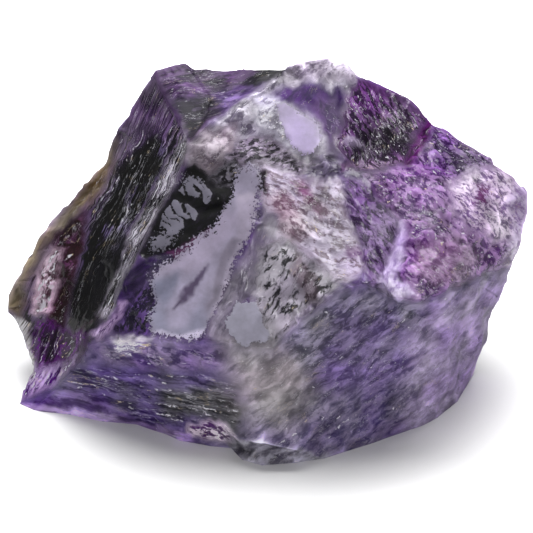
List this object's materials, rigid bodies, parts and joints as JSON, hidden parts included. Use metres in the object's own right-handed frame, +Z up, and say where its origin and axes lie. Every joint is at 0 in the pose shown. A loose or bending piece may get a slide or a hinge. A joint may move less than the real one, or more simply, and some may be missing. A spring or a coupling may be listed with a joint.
{
  "type": "rough amethyst",
  "caption": "Rough lump of purple quartz with fractured faces and sharp ridges, lying on a broken flat side as a display stone.",
  "frame": {"origin": "on the ground, below the middle of the stone's box", "axes": "+X along the stone's length to the right of its broad front, -Y out of that front, +Z up"},
  "size_m": [0.0628, 0.0422, 0.0383],
  "materials": {
    "amethyst": "broken quartz: glossy on the blade and small facets, finely rough elsewhere, see-through at the thin edges"
  },
  "bodies": {
    "root": {"amethyst": "amethyst"}
  },
  "joints": []
}
